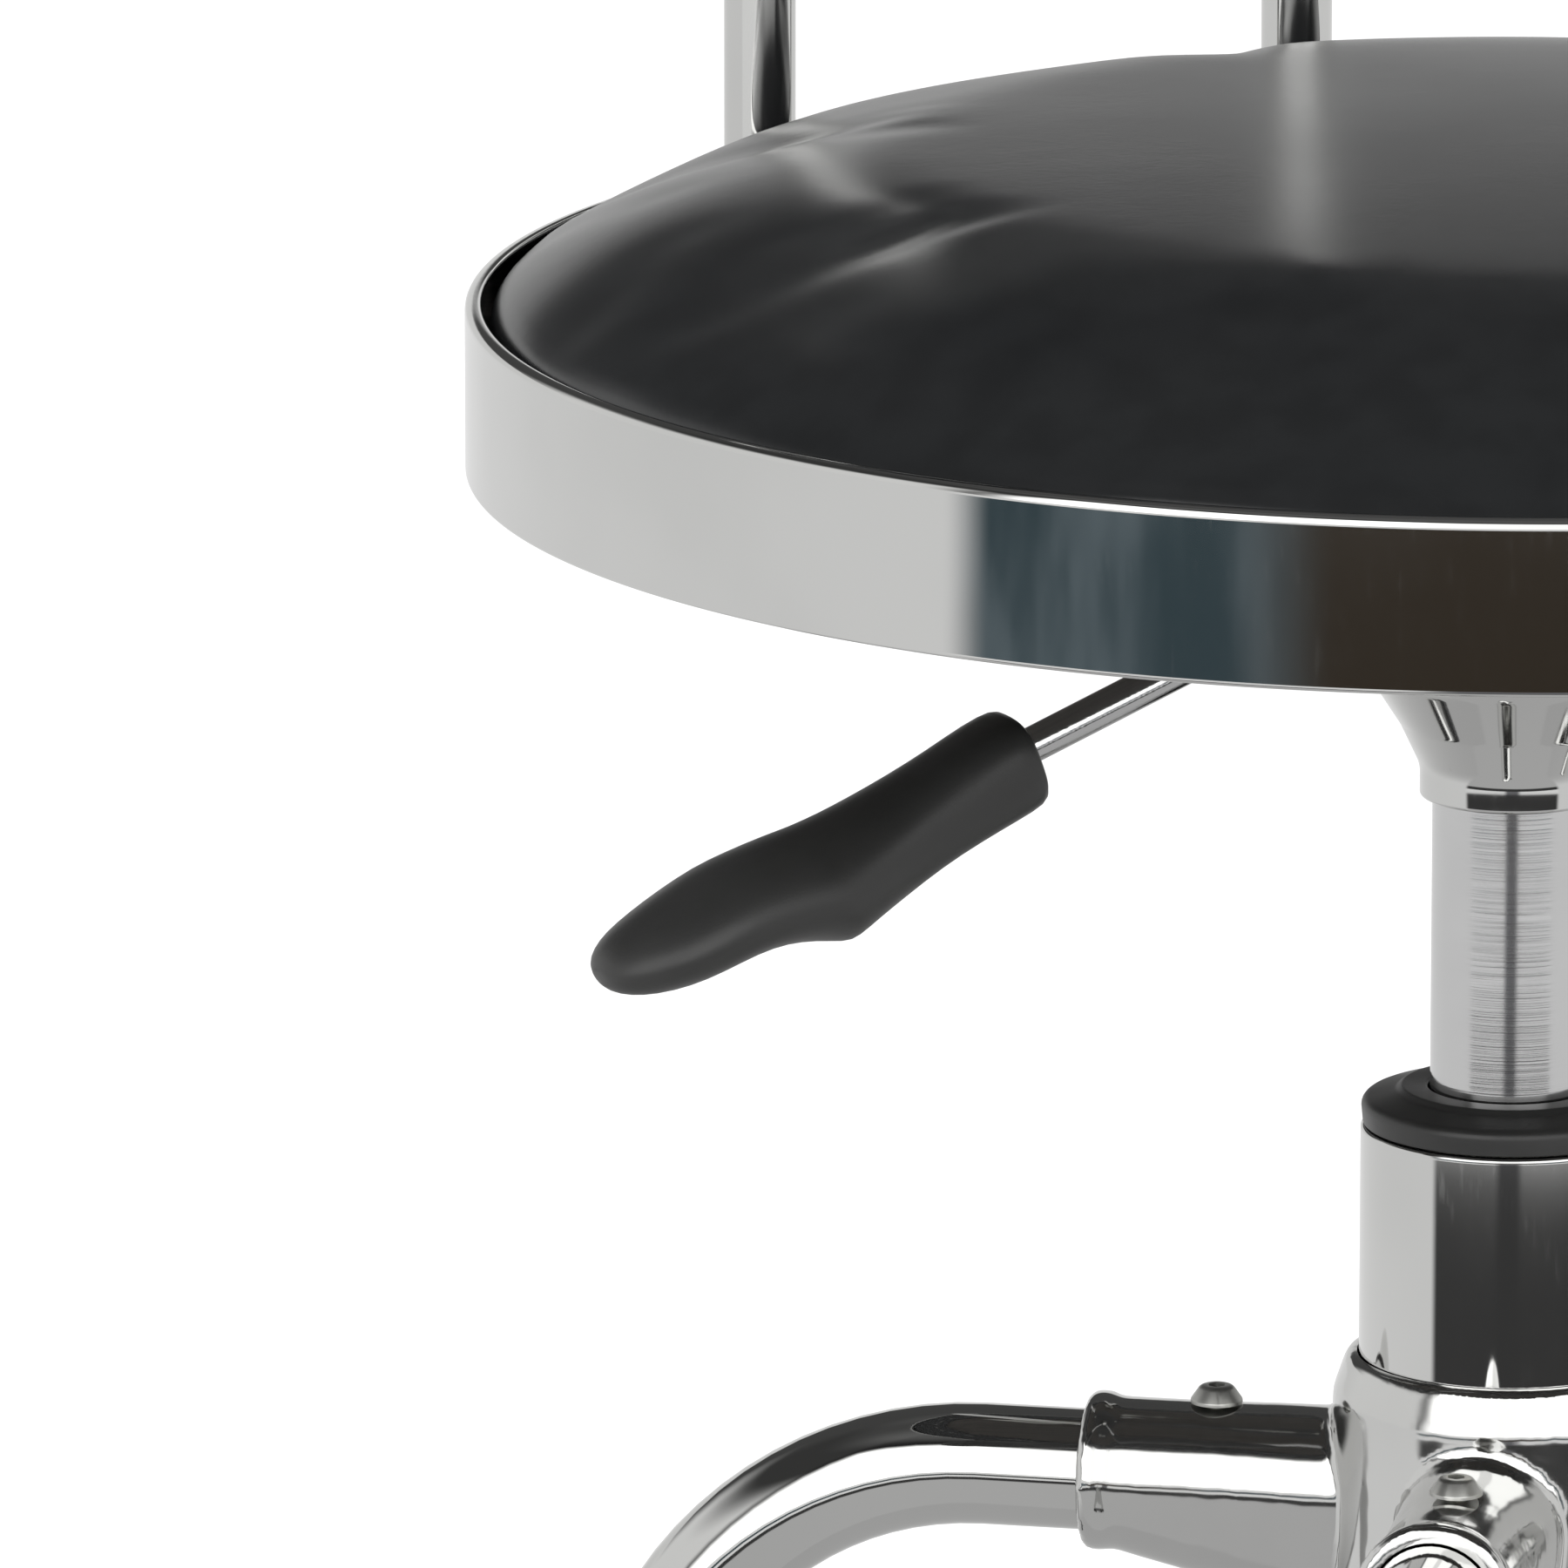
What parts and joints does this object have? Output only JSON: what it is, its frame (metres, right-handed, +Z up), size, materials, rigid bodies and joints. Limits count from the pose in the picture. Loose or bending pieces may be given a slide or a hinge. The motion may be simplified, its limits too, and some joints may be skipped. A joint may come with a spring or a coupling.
{
  "type": "adjustable swivel stool",
  "caption": "Round padded stool with a curved backrest, turning and rising on a lever-worked gas lift, on a four-leg bent-tube base with swivelling casters.",
  "frame": {"origin": "on the floor, on the axis of the column", "axes": "+Z up; the sitter faces -Y and the backrest is at +Y; the height lever points to -X"},
  "size_m": [0.438, 0.434, 0.755],
  "materials": {
    "chrome": "bright plated, mirror-like",
    "satin_chrome": "ground and hard-chromed, slightly soft reflections",
    "zinc_steel": "bright zinc-plated steel",
    "black_vinyl": "smooth semi-gloss black vinyl over foam",
    "plywood": "birch plywood, stained black",
    "black_paint": "semi-gloss black powder coat",
    "black_plastic": "fine-textured black moulded plastic",
    "acetal": "natural acetal",
    "rubber": "matt black rubber",
    "wheel_nylon": "black nylon, slightly polished by rolling"
  },
  "bodies": {
    "base": {"column_tube": "chrome", "column_cap": "black_plastic", "guide_bush": "acetal", "bearing_lower_race": "zinc_steel", "bearing_ball_cage": "zinc_steel", "leg_hub": "chrome", "leg_1": "chrome", "leg_2": "chrome", "leg_3": "chrome", "leg_4": "chrome", "leg_screw_1": "zinc_steel", "leg_screw_2": "zinc_steel", "leg_screw_3": "zinc_steel", "leg_screw_4": "zinc_steel"},
    "spindle": {"piston_rod": "satin_chrome", "rod_clip": "zinc_steel", "bearing_upper_race": "zinc_steel", "stop_bumper": "rubber"},
    "seat": {"seat_cushion": "black_vinyl", "seat_trim_band": "chrome", "seat_board": "plywood", "seat_plate": "black_paint", "seat_post_socket": "chrome", "lever_pivot_pin": "zinc_steel", "gas_cylinder": "satin_chrome", "plate_screw_1": "zinc_steel", "plate_screw_2": "zinc_steel", "plate_screw_3": "zinc_steel", "plate_screw_4": "zinc_steel", "back_upright_right": "chrome", "back_upright_left": "chrome", "upright_clamp_right": "zinc_steel", "upright_clamp_left": "zinc_steel", "back_shell": "black_plastic", "back_pad": "black_vinyl", "back_trim_band": "chrome", "back_screw_1": "zinc_steel", "back_screw_2": "zinc_steel", "back_screw_3": "zinc_steel", "back_screw_4": "zinc_steel", "clamp_screw_right_right": "zinc_steel", "clamp_screw_right_left": "zinc_steel", "clamp_screw_left_right": "zinc_steel", "clamp_screw_left_left": "zinc_steel"},
    "lever": {"lever_rod": "satin_chrome", "lever_handle": "black_plastic"},
    "valve": {"valve_button": "zinc_steel"},
    "caster_1": {"caster_1_body": "black_plastic"},
    "caster_1_wheel_right": {"caster_1_wheel_right": "wheel_nylon"},
    "caster_1_wheel_left": {"caster_1_wheel_left": "wheel_nylon"},
    "caster_2": {"caster_2_body": "black_plastic"},
    "caster_2_wheel_right": {"caster_2_wheel_right": "wheel_nylon"},
    "caster_2_wheel_left": {"caster_2_wheel_left": "wheel_nylon"},
    "caster_3": {"caster_3_body": "black_plastic"},
    "caster_3_wheel_right": {"caster_3_wheel_right": "wheel_nylon"},
    "caster_3_wheel_left": {"caster_3_wheel_left": "wheel_nylon"},
    "caster_4": {"caster_4_body": "black_plastic"},
    "caster_4_wheel_right": {"caster_4_wheel_right": "wheel_nylon"},
    "caster_4_wheel_left": {"caster_4_wheel_left": "wheel_nylon"}
  },
  "joints": [
    {"name": "seat_swivel", "type": "hinge", "parent": "base", "child": "spindle", "pos_m": [0, 0, 0.135], "axis": [0, 0, 1], "continuous": true},
    {"name": "seat_lift", "type": "slide", "parent": "spindle", "child": "seat", "axis": [0, 0, 1], "range_m": [0, 0.118]},
    {"name": "lever_tilt", "type": "hinge", "parent": "seat", "child": "lever", "pos_m": [-0.015, 0, 0.44], "axis": [0, 1, 0], "range_deg": [0, 10], "stiffness_Nm_per_rad": 0.4},
    {"name": "valve_press", "type": "slide", "parent": "seat", "child": "valve", "axis": [0, 0, -1], "range_m": [0, 0.003]},
    {"name": "caster_1_swivel", "type": "hinge", "parent": "base", "child": "caster_1", "pos_m": [-0.17289, 0.13508, 0.068], "axis": [0, 0, 1], "continuous": true},
    {"name": "caster_1_spin_right", "type": "hinge", "parent": "caster_1", "child": "caster_1_wheel_right", "pos_m": [-0.18854, 0.13841, 0.025], "axis": [-0.2079, -0.9781, 0], "continuous": true},
    {"name": "caster_1_spin_left", "type": "hinge", "parent": "caster_1", "child": "caster_1_wheel_left", "pos_m": [-0.18854, 0.13841, 0.025], "axis": [-0.2079, -0.9781, 0], "continuous": true},
    {"name": "caster_2_swivel", "type": "hinge", "parent": "base", "child": "caster_2", "pos_m": [-0.13508, -0.17289, 0.068], "axis": [0, 0, 1], "continuous": true},
    {"name": "caster_2_spin_right", "type": "hinge", "parent": "caster_2", "child": "caster_2_wheel_right", "pos_m": [-0.13564, -0.18888, 0.025], "axis": [0.9994, -0.0349, 0], "continuous": true},
    {"name": "caster_2_spin_left", "type": "hinge", "parent": "caster_2", "child": "caster_2_wheel_left", "pos_m": [-0.13564, -0.18888, 0.025], "axis": [0.9994, -0.0349, 0], "continuous": true},
    {"name": "caster_3_swivel", "type": "hinge", "parent": "base", "child": "caster_3", "pos_m": [0.17289, -0.13508, 0.068], "axis": [0, 0, 1], "continuous": true},
    {"name": "caster_3_spin_right", "type": "hinge", "parent": "caster_3", "child": "caster_3_wheel_right", "pos_m": [0.18854, -0.13841, 0.025], "axis": [0.2079, 0.9781, 0], "continuous": true},
    {"name": "caster_3_spin_left", "type": "hinge", "parent": "caster_3", "child": "caster_3_wheel_left", "pos_m": [0.18854, -0.13841, 0.025], "axis": [0.2079, 0.9781, 0], "continuous": true},
    {"name": "caster_4_swivel", "type": "hinge", "parent": "base", "child": "caster_4", "pos_m": [0.13508, 0.17289, 0.068], "axis": [0, 0, 1], "continuous": true},
    {"name": "caster_4_spin_right", "type": "hinge", "parent": "caster_4", "child": "caster_4_wheel_right", "pos_m": [0.13564, 0.18888, 0.025], "axis": [-0.9994, 0.0349, 0], "continuous": true},
    {"name": "caster_4_spin_left", "type": "hinge", "parent": "caster_4", "child": "caster_4_wheel_left", "pos_m": [0.13564, 0.18888, 0.025], "axis": [-0.9994, 0.0349, 0], "continuous": true}
  ],
  "couplings": [
    {"joint": "valve_press", "follows": "lever_tilt", "m_per_rad": 0.015}
  ]
}
